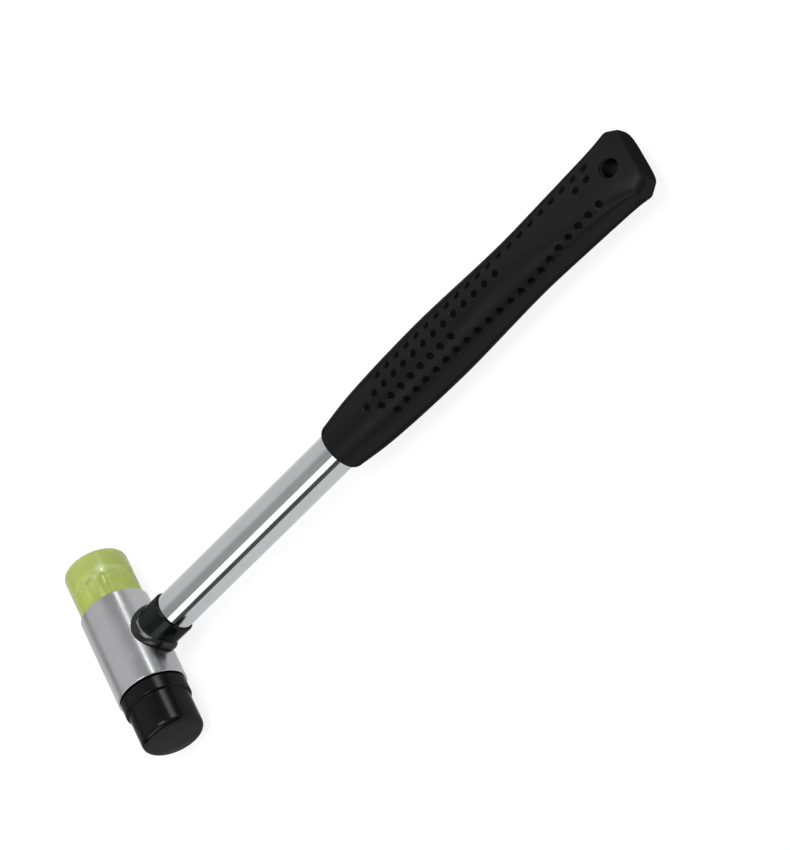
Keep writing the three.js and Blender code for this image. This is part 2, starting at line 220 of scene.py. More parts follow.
def stretched_noise(material, stretch, scale, detail=4.0):
    """Noise on Object coordinates that are first scaled by stretch along X, Y and Z."""
    place = add(material, "ShaderNodeTexCoord")
    mapping = add(material, "ShaderNodeMapping")
    mapping.inputs["Scale"].default_value = stretch
    noise = add(material, "ShaderNodeTexNoise", scale=scale, detail=detail)
    join(material, place.outputs["Object"], mapping.inputs["Vector"])
    join(material, mapping.outputs["Vector"], noise.inputs["Vector"])
    return noise.outputs["Fac"]


def spread(material, signal, start, stop, low, high):
    """A signal that goes from low to high while another goes from start to stop."""
    node = add(material, "ShaderNodeMapRange")
    for place, value in enumerate((start, stop, low, high), 1):
        node.inputs[place].default_value = value
    join(material, signal, node.inputs[0])
    return node.outputs[0]


# %% [markdown]
# A signal reaches the shader in four ways: it moves a number such as the roughness, mixes two colours,
# sets how strongly the surface mirrors, or presses a bump. Noise keeps close to a half, so the middle
# of its range is what gets spread. Soft black surfaces mirror less where they turn edge-on.

# %% Lead a signal to the shader
NOISE_RANGE = (0.3, 0.7)
TINT_RANGE = (0.35, 0.65)
FACING_RANGE = (0.25, 0.6)


def vary(material, signal, socket, low, high):
    """The signal, around a half, spread from low to high on a number socket of the shader."""
    shader = material.node_tree.nodes["Principled BSDF"]
    join(material, spread(material, signal, *NOISE_RANGE, low, high), shader.inputs[socket])


def tint(material, signal, dark, light):
    """The signal mixes two colours on the shader's base colour."""
    shader = material.node_tree.nodes["Principled BSDF"]
    ramp = add(material, "ShaderNodeValToRGB")
    for stop, position, color in zip(ramp.color_ramp.elements, TINT_RANGE, (dark, light)):
        stop.position = position
        stop.color = (*color, 1.0)
    join(material, signal, ramp.inputs["Fac"])
    join(material, ramp.outputs["Color"], shader.inputs["Base Color"])


def gloss(material, signal, edge_on=0.15):
    """The shader's specular level: the signal, times a factor that falls from 1 to edge_on as the
    surface turns away from the eye."""
    facing = add(material, "ShaderNodeLayerWeight").outputs["Facing"]
    times = add(material, "ShaderNodeMath", operation="MULTIPLY")
    join(material, signal, times.inputs[0])
    join(material, spread(material, facing, *FACING_RANGE, 1.0, edge_on), times.inputs[1])
    shader = material.node_tree.nodes["Principled BSDF"]
    join(material, times.outputs[0], shader.inputs["Specular IOR Level"])


def emboss(material, signal, depth):
    """The signal as a bump of that depth in metres."""
    shader = material.node_tree.nodes["Principled BSDF"]
    bump = add(material, "ShaderNodeBump", strength=1.0, distance=depth)
    join(material, signal, bump.inputs["Height"])
    join(material, bump.outputs["Normal"], shader.inputs["Normal"])


def wear(piece, material, body, slot, *nodes):
    """The piece gets the finish, rides on the body, and stands for the nodes."""
    piece.data.materials.append(material)
    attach(piece, body)
    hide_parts(*nodes)
    print(f"{piece.name}: {material.name}, rides on {body}")


# %% [markdown]
# ## The barrel
# The barrel is turned from steel bar, plated and left satin. Its reflections are long streaks along
# the axis, with fine rings across them from the turning. The rings are noise squeezed along Y, and a
# coarser noise makes the satin uneven. A blind hole in each end takes a face's stud. Pieces that meet
# leave a little room: FIT round a shaft in its hole, and SEAT where a piece sits on another.

# %% Turn the barrel
FIT = 0.25 * MM
STUD_RADIUS = 4.0 * MM
HOLE_SPARE = 0.5 * MM
BARREL_EDGE = 0.3 * MM
stud_low, stud_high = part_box("plastic_face_stud")
hole_end = stud_low.y - HOLE_SPARE
hole_radius = STUD_RADIUS + FIT
half_barrel = [
    (hole_radius, hole_end, 0),
    (hole_radius, BARREL_HALF, BARREL_EDGE),
    (BARREL_RADIUS, BARREL_HALF, BARREL_EDGE),
]
other_half = [(radius, -place, rounding) for radius, place, rounding in half_barrel[::-1]]
barrel_corners = [(0, hole_end, 0), *half_barrel, *other_half, (0, -hole_end, 0)]
barrel = turned_on_head("barrel_shell", rounded(barrel_corners))

# %% Finish the barrel
satin_steel = new_finish("satin_steel", color=(0.50, 0.50, 0.51), roughness=0.25, metallic=1.0)
turning = stretched_noise(satin_steel, stretch=(0.004, 1.0, 0.004), scale=3500.0, detail=1.0)
smudges = stretched_noise(satin_steel, stretch=(1.0, 0.4, 1.0), scale=160.0, detail=1.0)
vary(satin_steel, smudges, "Roughness", low=0.2, high=0.3)
tint(satin_steel, turning, dark=(0.482, 0.482, 0.492), light=(0.518, 0.518, 0.528))
emboss(satin_steel, turning, depth=0.001 * MM)
wear(barrel, satin_steel, "hammer", "satin_steel", "head_barrel")

# %% [markdown]
# ## The studs
# Each face is moulded round the head of a steel stud, which screws into the barrel. A thread is a
# round surface whose radius rises and falls with the distance along the axis less the share of a turn,
# so its crest climbs one pitch in each turn. It shows when a face is unscrewed, and the plastic face
# lets the stud's domed head show through.

# %% Cut the studs
THREAD_PITCH = 1.25 * MM
THREAD_DEPTH = 0.6 * MM
THREAD_STEPS = 140
STUD_HEAD_RADIUS = 6.0 * MM
STUD_HEAD_RIM = 1.4 * MM
STUD_HEAD_CROWN = 1.8 * MM
DOME_STEPS = 14
SEAT = 0.25 * MM
face_seat = BARREL_HALF + SEAT


def stud_profile(inset=0.0):
    """The head's outline from under its rim to the middle of its dome: a quarter of an ellipse on a
    short rim. The inset draws it in towards the axis and down from the dome."""
    rim_top = stud_high.y - STUD_HEAD_CROWN
    rim_foot = rim_top - STUD_HEAD_RIM
    angle = np.linspace(0, np.pi / 2, DOME_STEPS)
    dome_radius = STUD_HEAD_RADIUS * np.cos(angle)
    dome_place = rim_top + STUD_HEAD_CROWN * np.sin(angle)
    under = [(STUD_RADIUS, rim_foot), (STUD_HEAD_RADIUS, rim_foot)]
    outline = np.vstack((under, np.stack((dome_radius, dome_place), axis=-1)))
    outline[:, 0] = np.maximum(outline[:, 0] - inset, 0)
    outline[1:, 1] -= inset
    return outline


def stud(name, side):
    """Shank radius = STUD_RADIUS - depth / 2 (1 - cos(2 pi s / pitch - t)), easing in at the point."""
    s = np.linspace(stud_low.y, face_seat, THREAD_STEPS)[:, None]
    t = np.linspace(0, 2 * np.pi, ROUND_STEPS, endpoint=False)
    ease = np.clip((s - stud_low.y) / THREAD_PITCH, 0, 1)
    groove = THREAD_DEPTH / 2 * (1 - np.cos(2 * np.pi * s / THREAD_PITCH - t))
    r = STUD_RADIUS - THREAD_DEPTH * (1 - ease) - groove * ease
    shank = np.stack((HEAD_X + r * np.cos(t), s + 0 * t, AXIS_Z + r * np.sin(t)), axis=-1)
    rings = np.vstack((shank, round_head(stud_profile()[:-1])))
    rings[..., 1] *= side
    poles = ((HEAD_X, side * stud_low.y, AXIS_Z), (HEAD_X, side * stud_high.y, AXIS_Z))
    return skin(name, rings, poles)


plastic_stud = stud("plastic_tip_stud", 1)
rubber_stud = stud("rubber_tip_stud", -1)

# %% Finish the studs
plain_steel = new_finish("plain_steel", color=(0.78, 0.78, 0.75), roughness=0.2, metallic=1.0)
grain = stretched_noise(plain_steel, EVEN, scale=700.0)
vary(plain_steel, grain, "Roughness", low=0.15, high=0.26)
tint(plain_steel, grain, dark=(0.72, 0.72, 0.69), light=(0.84, 0.84, 0.81))
emboss(plain_steel, grain, depth=0.004 * MM)
wear(plastic_stud, plain_steel, "plastic_stud", "plain_steel", "plastic_face_stud")
wear(rubber_stud, plain_steel, "rubber_stud", "plain_steel", "rubber_face_stud")

# %% [markdown]
# ## The rubber face
# A soft black face: a flange seats on the barrel, a slightly narrower body follows, and the striking
# end is a shallow dome with a full round rim. The stud sits in a pocket. The pocket's wall lies a hair
# inside the stud's surface, because rubber moulded round steel leaves no gap. The striking end mirrors
# a little more than the sides, as if blows had polished it.

# %% Mould the rubber face
FLANGE_LENGTH = 5.4 * MM
FLANGE_ROUND = 0.6 * MM
FLANGE_SLOPE = 0.15 * MM
FLANGE_FILLET = 0.3 * MM
RUBBER_RADIUS = 11.1 * MM
FACE_ROUND = 2.2 * MM
FACE_CROWN = 0.8 * MM
FACE_SPACING = 0.5 * MM
CROWN_STEPS = 16
POCKET_INSET = 0.02 * MM
rubber_low, rubber_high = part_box("rubber_face")


def crown(radius, rim):
    """From the rim's plane to the axis: place = rim + crown (1 - (r / radius) squared)."""
    r = np.linspace(radius, 0, CROWN_STEPS)
    return np.stack((r, rim + FACE_CROWN * (1 - (r / radius) ** 2)), axis=-1)


def moulded_face(sides, radius, rim):
    """The stud's pocket, then the sides with their roundings, then the crowned striking end."""
    pocket = stud_profile(POCKET_INSET)[::-1]
    end = crown(radius - FACE_ROUND, rim)
    corners = [(STUD_RADIUS, face_seat, 0), *sides, (radius, rim, FACE_ROUND), (*end[0], 0)]
    return np.vstack((pocket, rounded(corners, FACE_SPACING), end[1:]))


flange_radius = (rubber_high.x - rubber_low.x) / 2
flange_end = face_seat + FLANGE_LENGTH
rubber_sides = [
    (flange_radius, face_seat, FLANGE_ROUND),
    (flange_radius, flange_end, FLANGE_ROUND),
    (RUBBER_RADIUS, flange_end + FLANGE_SLOPE, FLANGE_FILLET),
]
rubber_profile = moulded_face(rubber_sides, RUBBER_RADIUS, -rubber_low.y - FACE_CROWN)
rubber_tip = turned_on_head("rubber_tip_skin", rubber_profile * (1, -1))

# %% Finish the rubber face
POLISH_START = -34.0 * MM
POLISH_END = -37.0 * MM
black_rubber = new_finish("black_rubber", color=(0.001, 0.001, 0.001), roughness=0.2)
pores = stretched_noise(black_rubber, EVEN, scale=2200.0, detail=6.0)
handling = stretched_noise(black_rubber, EVEN, scale=140.0)
vary(black_rubber, handling, "Roughness", low=0.16, high=0.24)
tint(black_rubber, handling, dark=(0.0008, 0.0008, 0.0008), light=(0.0014, 0.0014, 0.0014))
rubber_place = add(black_rubber, "ShaderNodeTexCoord")
rubber_axes = add(black_rubber, "ShaderNodeSeparateXYZ")
join(black_rubber, rubber_place.outputs["Object"], rubber_axes.inputs["Vector"])
along_head = rubber_axes.outputs["Y"]
gloss(black_rubber, spread(black_rubber, along_head, POLISH_START, POLISH_END, low=0.18, high=0.26))
emboss(black_rubber, pores, depth=0.012 * MM)
wear(rubber_tip, black_rubber, "rubber_tip", "black_rubber", "rubber_face")

# %% [markdown]
# ## The plastic face
# A hard face of clear lime plastic, with no flange. Half of the light goes through it, meets the stud's
# head and comes out tinted. The other half is scattered, as in any plastic that isn't glass, and cloudy
# noise makes that uneven.

# %% Mould the plastic face
PLASTIC_SEAT_ROUND = 0.5 * MM
plastic_low, plastic_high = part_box("plastic_face")
plastic_radius = (plastic_high.x - plastic_low.x) / 2
plastic_sides = [(plastic_radius, face_seat, PLASTIC_SEAT_ROUND)]
plastic_profile = moulded_face(plastic_sides, plastic_radius, plastic_high.y - FACE_CROWN)
plastic_tip = turned_on_head("plastic_tip_body", plastic_profile)

# %% Tint the plastic
lime_plastic = new_finish(
    "lime_plastic", color=(0.56, 0.67, 0.12), roughness=0.2, transmission_weight=0.5, ior=1.45
)
clouds = stretched_noise(lime_plastic, EVEN, scale=120.0, detail=5.0)
ripples = stretched_noise(lime_plastic, EVEN, scale=900.0)
vary(lime_plastic, clouds, "Roughness", low=0.15, high=0.28)
tint(lime_plastic, clouds, dark=(0.51, 0.63, 0.09), light=(0.60, 0.71, 0.15))
emboss(lime_plastic, ripples, depth=0.004 * MM)
wear(plastic_tip, lime_plastic, "plastic_tip", "lime_plastic", "plastic_face")

# %% [markdown]
# A pale shape shows in the real plastic where the stud's head seems to be. Little of the head's light
# comes through from this side, so two soft spots of a paler lime are painted into the base colour: a
# painted glint that stands in for the stud's head shining through. A Mix node has a set of sockets for
# each kind of value: for colours, the factor is input 0, the two colours are inputs 6 and 7, and the
# result is output 2. The chrome next to the face looks neutral, so mirrors don't see the plastic.

# %% Paint the glint spots
# Painted highlight: this paler lime stands in for light from the stud's head and is painted into the base
# colour
GLINT_LIME = (0.80, 0.93, 0.36)
# In millimetres: a painted glint spot's centre, the radius up to which it is full, and the radius where
# it ends
PAINTED_GLINT_SPOTS = [((-114.4, 28.4, 20.8), 1.2, 2.9), ((-117.0, 26.4, 22.7), 0.3, 1.5)]


def larger(material, one, two):
    """The larger of two signals."""
    node = add(material, "ShaderNodeMath", operation="MAXIMUM")
    join(material, one, node.inputs[0])
    join(material, two, node.inputs[1])
    return node.outputs[0]


lime_place = add(lime_plastic, "ShaderNodeTexCoord").outputs["Object"]
spots = []
for centre, full, gone in PAINTED_GLINT_SPOTS:
    away = add(lime_plastic, "ShaderNodeVectorMath", operation="DISTANCE")
    away.inputs[1].default_value = [value * MM for value in centre]
    join(lime_plastic, lime_place, away.inputs[0])
    spots.append(spread(lime_plastic, away.outputs["Value"], gone * MM, full * MM, 0.0, 1.0))
lime_color = lime_plastic.node_tree.nodes["Principled BSDF"].inputs["Base Color"]
# The painted glint: the spots' mask mixes the paler lime into the plastic's base colour
pale = add(lime_plastic, "ShaderNodeMix", data_type="RGBA")
pale.inputs[7].default_value = (*GLINT_LIME, 1.0)
join(lime_plastic, larger(lime_plastic, *spots), pale.inputs[0])
join(lime_plastic, lime_color.links[0].from_socket, pale.inputs[6])
join(lime_plastic, pale.outputs[2], lime_color)
plastic_tip.visible_glossy = False
print(f"pale spots in the plastic: {len(spots)}")

# %% [markdown]
# ## The neck collar
# A plastic collar closes the joint of tube and barrel. At the head it has a lip that follows the
# barrel's curve like a saddle and ends in a shoulder, a quarter of an ellipse. A cone rises from there
# to a thin edge on the tube. Each ring has a radius, a height, and a share from 0 to 1 of how closely
# it follows the barrel. The lip is polished and the cone is not, so the mesh keeps which points are
# on the lip.

# %% Model the collar
COLLAR_STEPS = 160
COLLAR_SPACING = 0.4 * MM
COLLAR_FIT = 0.03 * MM
LIP_EDGE = 0.7 * MM
LIP_HEIGHT = 2.7 * MM
LIP_ROUND = 0.4 * MM
SHOULDER_STEPS = 16
BASE_WALL = 0.55 * MM
NECK_WALL = 0.6 * MM
NECK_ROUND = 0.35 * MM
SLEEVE_RADIUS = TUBE_RADIUS + FIT
collar_low, collar_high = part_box("neck_collar")


def saddle(radius, height, follow):
    """Along the handle x = seat + height - follow (seat - sqrt(seat^2 - z^2)), across it a circle."""
    t = np.linspace(0, 2 * np.pi, COLLAR_STEPS, endpoint=False)
    seat = BARREL_RADIUS + SEAT
    y, z = radius[:, None] * np.cos(t), radius[:, None] * np.sin(t)
    sunk = seat - np.sqrt(seat**2 - z**2)
    x = HEAD_X + seat + height[:, None] - follow[:, None] * sunk
    return np.stack((x, y, AXIS_Z + z), axis=-1)


lip_radius = (collar_high.y - collar_low.y) / 2
collar_height = collar_high.x - HEAD_X - BARREL_RADIUS - SEAT
collar_bore = TUBE_RADIUS + COLLAR_FIT
ledge = lip_radius - SLEEVE_RADIUS - BASE_WALL
quarter = np.linspace(0, np.pi / 2, SHOULDER_STEPS)
shoulder = np.stack((
    lip_radius - ledge * (1 - np.cos(quarter)),
    LIP_EDGE + (LIP_HEIGHT - LIP_EDGE) * np.sin(quarter),
    0 * quarter,
), axis=-1)
collar_profile = rounded([
    (collar_bore, 0, 0),
    (lip_radius, 0, LIP_ROUND),
    *shoulder,
    (SLEEVE_RADIUS + NECK_WALL, collar_height, NECK_ROUND),
    (collar_bore, collar_height, 0),
], COLLAR_SPACING)
rise = np.clip((collar_profile[:, 1] - LIP_HEIGHT) / (collar_height - LIP_HEIGHT), 0, 1)
collar = skin("neck_collar_skin", saddle(*collar_profile.T, 1 - rise), loop=True)
on_lip = np.repeat((collar_profile[:, 1] < LIP_HEIGHT).astype(float), COLLAR_STEPS)
collar.data.attributes.new("lip", "FLOAT", "POINT").data.foreach_set("value", on_lip)

# %% Finish the collar
collar_plastic = new_finish("collar_plastic", color=(0.004, 0.0045, 0.0045), roughness=0.15)
speckle = stretched_noise(collar_plastic, EVEN, scale=1500.0)
vary(collar_plastic, speckle, "Roughness", low=0.12, high=0.18)
tint(collar_plastic, speckle, dark=(0.0035, 0.004, 0.004), light=(0.0045, 0.005, 0.005))
lip = add(collar_plastic, "ShaderNodeAttribute", attribute_name="lip").outputs["Fac"]
gloss(collar_plastic, spread(collar_plastic, lip, 0.0, 1.0, low=0.18, high=0.5))
emboss(collar_plastic, speckle, depth=0.006 * MM)
wear(collar, collar_plastic, "hammer", "collar_plastic", "neck_collar")

# %% [markdown]
# ## The tube
# The handle is a steel tube with bright chrome. A mirror on a cylinder draws the whole room as stripes
# along it, so the finish itself needs little: a touch of roughness, faint lengthwise polishing lines
# and a few dull patches. The profile is a loop that closes inside the bore, out of sight.

# %% Draw the tube
TUBE_WALL = 1.2 * MM
TUBE_EDGE = 0.3 * MM
BORE_EDGE = 0.2 * MM
LOOP_START = 1.0 * MM
LOOP_END = 1.5 * MM
tube_start, tube_end = tube_low.x - HEAD_X, tube_high.x - HEAD_X
tube_bore = TUBE_RADIUS - TUBE_WALL
tube_loop = rounded([
    (tube_bore, tube_start + LOOP_START, 0),
    (tube_bore, tube_start, BORE_EDGE),
    (TUBE_RADIUS, tube_start, TUBE_EDGE),
    (TUBE_RADIUS, tube_end, TUBE_EDGE),
    (tube_bore, tube_end, BORE_EDGE),
    (tube_bore, tube_start + LOOP_END, 0),
])
tube = skin("tube_skin", round_handle(tube_loop), loop=True)

# %% Finish the tube
bright_chrome = new_finish("bright_chrome", color=(0.57, 0.58, 0.59), roughness=0.09, metallic=1.0)
polishing = stretched_noise(bright_chrome, stretch=(0.02, 1.0, 1.0), scale=3000.0)
dulled = stretched_noise(bright_chrome, stretch=(0.6, 1.0, 1.0), scale=130.0)
vary(bright_chrome, dulled, "Roughness", low=0.06, high=0.13)
tint(bright_chrome, dulled, dark=(0.55, 0.56, 0.57), light=(0.59, 0.60, 0.61))
emboss(bright_chrome, polishing, depth=0.0006 * MM)
wear(tube, bright_chrome, "hammer", "chrome", "handle_tube")

# %% [markdown]
# ## The grip's outline
# The grip is one soft moulding: a blunt front, a swell under the fingers, a waist, and a flare that
# grows wider and flatter towards the butt. Six stations carry the shape. A curve that passes through
# all of them, with tangents weighted by the square root of the distance, gives every place between.

# %% Draw the grip's outline
grip_low, grip_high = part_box("grip")
GRIP_FRONT = grip_low.x
GRIP_BUTT = grip_high.x
FROM_FRONT, FROM_BUTT = 1, -1
# In millimetres: distance from that end, half width, half height
STATIONS = [
    (FROM_FRONT, 0.7, 8.7, 8.7),
    (FROM_FRONT, 15.0, 10.35, 10.35),
    (FROM_FRONT, 49.0, 11.5, 11.5),
    (FROM_BUTT, 48.0, 10.6, 10.6),
    (FROM_BUTT, 11.0, 12.2, 7.0),
    (FROM_BUTT, 4.3, 13.4, 5.6),
]
WAIST, FLARE = STATIONS[3], STATIONS[4]


def station(end, distance, half_width, half_height):
    """A station's place along X, from either end of the grip, with its half width and half height."""
    start = GRIP_FRONT if end == FROM_FRONT else GRIP_BUTT
    return np.array((start + end * distance * MM, half_width * MM, half_height * MM))


def through(points, samples=160):
    """Each stretch is a cubic with tangent (p1-p0)/d0 - (p2-p0)/(d0+d1) + (p2-p1)/d1 at its start,
    where d is the square root of the distance, and the mirror image of that at its end."""
    ends = (2 * points[0] - points[1], *points, 2 * points[-1] - points[-2])
    share = np.linspace(0, 1, samples, endpoint=False)[:, None]
    stretches = []
    for p0, p1, p2, p3 in zip(ends, ends[1:], ends[2:], ends[3:]):
        d0, d1, d2 = (math.sqrt(np.linalg.norm(b - a)) for a, b in ((p0, p1), (p1, p2), (p2, p3)))
        leave = d1 * ((p1 - p0) / d0 - (p2 - p0) / (d0 + d1) + (p2 - p1) / d1)
        arrive = d1 * ((p2 - p1) / d1 - (p3 - p1) / (d1 + d2) + (p3 - p2) / d2)
        cubic = (2 * p1 - 2 * p2 + leave + arrive, -3 * p1 + 3 * p2 - 2 * leave - arrive, leave, p1)
        stretches.append(((cubic[0] * share + cubic[1]) * share + cubic[2]) * share + cubic[3])
    return np.vstack(stretches + [points[-1:]])


outside = through(np.array([station(*row) for row in STATIONS]))
print(f"outline: {len(outside)} points, widest {2 * outside[:, 1].max() / MM:.1f} mm")

# %% [markdown]
# ## The grip's skin
# The outline runs from the bore's blind end out to the front, over the round front edge, along the
# outside, down the cut corners and across the flat butt. It is sampled evenly, finely enough for the
# dimples, and a running mean softens its edges. Each sample becomes a squared-off oval: the flatter it
# is, the squarer.

# %% Carry the oval along the outline
RING_SPACING = 0.38 * MM
RING_STEPS = 192
BORE_RINGS = 40
FRONT_ROUND = 0.7 * MM
FRONT_STEPS = 8
BUTT_HALF_WIDTH = 10.8 * MM
BUTT_HALF_HEIGHT = 4.4 * MM
BUTT_MIDDLE = 0.1
FLAT_SQUARING = 3.0
EDGE_SOFTENING = 5


def oval(place, half_width, half_height):
    """In polar form r = (|cos t / w|^n + |sin t / h|^n)^(-1/n), with n = 2 + squaring (1 - h / w)."""
    t = np.linspace(0, 2 * np.pi, RING_STEPS, endpoint=False)
    w, h = half_width[:, None], half_height[:, None]
    n = 2 + FLAT_SQUARING * (1 - h / w)
    r = (np.abs(np.cos(t) / w) ** n + np.abs(np.sin(t) / h) ** n) ** (-1 / n)
    return np.stack((place[:, None] + 0 * t, r * np.cos(t), AXIS_Z + r * np.sin(t)), axis=-1)


def evenly(path, spacing):
    """The path's points moved to equal steps along its length."""
    along = np.concatenate(([0], np.cumsum(np.linalg.norm(np.diff(path, axis=0), axis=1))))
    places = np.linspace(0, along[-1], int(along[-1] / spacing))
    return np.stack([np.interp(places, along, column) for column in path.T], axis=-1)


turn = np.linspace(np.pi, np.pi / 2, FRONT_STEPS)
front_radius = outside[0, 1] - FRONT_ROUND * (1 - np.sin(turn))
front_place = GRIP_FRONT + FRONT_ROUND * (1 + np.cos(turn))
front_edge = np.stack((front_place, front_radius, front_radius), axis=-1)
butt_edge = np.array([(GRIP_BUTT, BUTT_HALF_WIDTH, BUTT_HALF_HEIGHT)])
butt_middle = butt_edge * (1, BUTT_MIDDLE, BUTT_MIDDLE)
path = evenly(np.vstack((front_edge, outside, butt_edge, butt_middle)), RING_SPACING)
window = np.ones(EDGE_SOFTENING) / EDGE_SOFTENING
inner = slice(EDGE_SOFTENING // 2, -(EDGE_SOFTENING // 2))
path[inner] = np.stack([np.convolve(column, window, "valid") for column in path.T], axis=-1)
bore_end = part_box("tube_plug")[1].x + SEAT
bore_places = np.linspace(bore_end, GRIP_FRONT, BORE_RINGS)
bore = np.array([(x, SLEEVE_RADIUS, SLEEVE_RADIUS) for x in bore_places])
rings = oval(*np.vstack((bore, path)).T)
print(f"grip grid: {rings.shape[0]} rings of {RING_STEPS} points")

# %% [markdown]
# ## Dimples
# Rows of small pits run along the upper side, with a smooth patch left between them, and the same rows,
# turned half round, run along the underside. Up to the waist a row is straight, and from there it bends
# with the flare. A pit is a smooth step in the distance from its centre, pushed in towards the handle's
# axis. How deep each point went is kept on the mesh, because dirt and shade gather in the pits.

# %% Place the dimples
DIMPLE_PITCH = 5.0 * MM
# In millimetres: distance across up to the waist, and at the flare; first dimple's distance from the
# grip's front. Then the number of dimples.
DIMPLE_ROWS = [
    (3.3, 6.8, 31.5, 21),
    (-1.35, 2.8, 27.5, 13),
    (-1.35, 2.8, 125.6, 2),
    (-2.9, -2.9, 22.1, 1),
    (-5.8, -5.8, 26.9, 8),
    (-9.3, -7.6, 29.8, 21),
]


def on_top(x, y):
    """The upper side over x, y: z = h (1 - |y / w|^n)^(1/n), with w, h and n as in the oval there."""
    half_width = np.interp(x, path[:-1, 0], path[:-1, 1])
    half_height = np.interp(x, path[:-1, 0], path[:-1, 2])
    n = 2 + FLAT_SQUARING * (1 - half_height / half_width)
    return np.stack((x, y, half_height * (1 - np.abs(y / half_width) ** n) ** (1 / n)), axis=-1)


bend = (station(*WAIST)[0], station(*FLARE)[0])
centres = []
for across_waist, across_flare, first, count in DIMPLE_ROWS:
    x = GRIP_FRONT + first * MM + DIMPLE_PITCH * np.arange(count)
    y = np.interp(x, bend, (across_waist * MM, across_flare * MM))
    upper = on_top(x, y)
    centres.extend((upper, upper * (1, -1, -1)))
centres = np.vstack(centres) + (0, 0, AXIS_Z)
print(f"dimples: {len(centres)}")

# %% Press the dimples
DIMPLE_RADIUS = 1.5 * MM
DIMPLE_FLOOR = 0.7 * MM
DIMPLE_DEPTH = 0.85 * MM
skin_rings = rings[len(bore):]
inward = (0, 0, AXIS_Z) - skin_rings * (0, 1, 1)
inward /= np.linalg.norm(inward, axis=-1, keepdims=True)
pit = np.zeros(skin_rings.shape[:2])
for centre in centres:
    distance = np.linalg.norm(skin_rings - centre, axis=-1)
    share = np.clip((DIMPLE_RADIUS - distance) / (DIMPLE_RADIUS - DIMPLE_FLOOR), 0, 1)
    pit = np.maximum(pit, share**2 * (3 - 2 * share))
rings[len(bore):] += inward * DIMPLE_DEPTH * pit[..., None]
grip_poles = ((bore_end, 0, AXIS_Z), (GRIP_BUTT, 0, AXIS_Z))
grip = skin("grip_skin", rings, grip_poles)
depths = np.concatenate((np.zeros(len(bore) * RING_STEPS), pit.ravel(), np.zeros(len(grip_poles))))
grip.data.attributes.new("pit", "FLOAT", "POINT").data.foreach_set("value", depths)

# %% [markdown]
# ## The hanging hole
# A hole near the butt goes right through. A grid can't have a hole, so a cutter shaped like the hole,
# with a small flare at both mouths, is taken away from the finished skin. The cutter stands out as far
# again on both sides, so that it cuts cleanly.

# %% Shape the cutter
HOLE_RADIUS = 3.1 * MM
HOLE_FLARE = 0.5 * MM
HOLE_STEPS = 48
openings = {opening["name"]: opening["box_m"] for opening in frame["record"]["physics"]["openings"]}
hole_box = openings["hang_hole"]
HOLE_X = (hole_box[0][0] + hole_box[1][0]) / 2
mouth = on_top(np.array([HOLE_X]), np.array([0.0]))[0, 2]
hole_profile = rounded([
    (0, -2 * mouth, 0),
    (HOLE_RADIUS + 2 * HOLE_FLARE, -2 * mouth, 0),
    (HOLE_RADIUS + HOLE_FLARE, -mouth, 0),
    (HOLE_RADIUS, HOLE_FLARE - mouth, 0),
    (HOLE_RADIUS, mouth - HOLE_FLARE, 0),
    (HOLE_RADIUS + HOLE_FLARE, mouth, 0),
    (HOLE_RADIUS + 2 * HOLE_FLARE, 2 * mouth, 0),
    (0, 2 * mouth, 0),
])
t = np.linspace(0, 2 * np.pi, HOLE_STEPS, endpoint=False)
r, s = hole_profile[1:-1, :1], hole_profile[1:-1, 1:]
hole_rings = np.stack((HOLE_X + r * np.cos(t), r * np.sin(t), AXIS_Z + s + 0 * t), axis=-1)
hole_poles = ((HOLE_X, 0, AXIS_Z - 2 * mouth), (HOLE_X, 0, AXIS_Z + 2 * mouth))
cutter = skin("hole_cutter", hole_rings, hole_poles)

# %% Cut the hanging hole
cut = grip.modifiers.new("hanging_hole", "BOOLEAN")
cut.operation = "DIFFERENCE"
cut.object = cutter
cut.solver = "EXACT"
whole = grip.data
grip.data = bpy.data.meshes.new_from_object(grip.evaluated_get(bpy.context.evaluated_depsgraph_get()))
grip.data.name = "grip_skin"
grip.modifiers.clear()
bpy.data.meshes.remove(whole)
bpy.data.objects.remove(cutter)
print(f"grip after the cut: {len(grip.data.polygons)} faces")

# %% [markdown]
# ## The grip's finish
# The grip is soft black vinyl with a fine leathery grain. It could be one dark colour, but a real grip
# is rubbed unevenly by hands, so slow noise moves its colour and its roughness. The depth kept on the
# mesh takes the gloss away inside the dimples, which makes them read as pits.

# %% Finish the grip
PIT_START = 0.1
PIT_STOP = 0.6
grip_vinyl = new_finish("grip_vinyl", color=(0.0060, 0.0061, 0.0068), roughness=0.42)
leather = stretched_noise(grip_vinyl, EVEN, scale=1800.0, detail=6.0)
rubbed = stretched_noise(grip_vinyl, stretch=(0.5, 1.0, 1.0), scale=90.0)
vary(grip_vinyl, rubbed, "Roughness", low=0.37, high=0.47)
tint(grip_vinyl, rubbed, dark=(0.0053, 0.0054, 0.0060), light=(0.0067, 0.0068, 0.0076))
pits = add(grip_vinyl, "ShaderNodeAttribute", attribute_name="pit").outputs["Fac"]
gloss(grip_vinyl, spread(grip_vinyl, pits, PIT_START, PIT_STOP, low=0.15, high=0.0), edge_on=0.04)
emboss(grip_vinyl, leather, depth=0.02 * MM)
wear(grip, grip_vinyl, "hammer", "grip_rubber", "grip")

# %% [markdown]
# ## Pieces inside
# The peg, its spring pin and the tube's plug are out of sight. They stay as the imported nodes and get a
# finish of their own, in case the hammer is ever shown in section.

# %% Finish the hidden pieces
plug_plastic = new_finish("plug_plastic", color=(0.12, 0.13, 0.13), roughness=0.5)
mottle = stretched_noise(plug_plastic, EVEN, scale=600.0)
tint(plug_plastic, mottle, dark=(0.10, 0.11, 0.11), light=(0.14, 0.15, 0.15))
for node, material in (("neck_peg", plain_steel), ("neck_pin", plain_steel), ("tube_plug", plug_plastic)):
    frame["nodes"][node].data.materials.clear()
    frame["nodes"][node].data.materials.append(material)
    print(f"{node}: {material.name}")

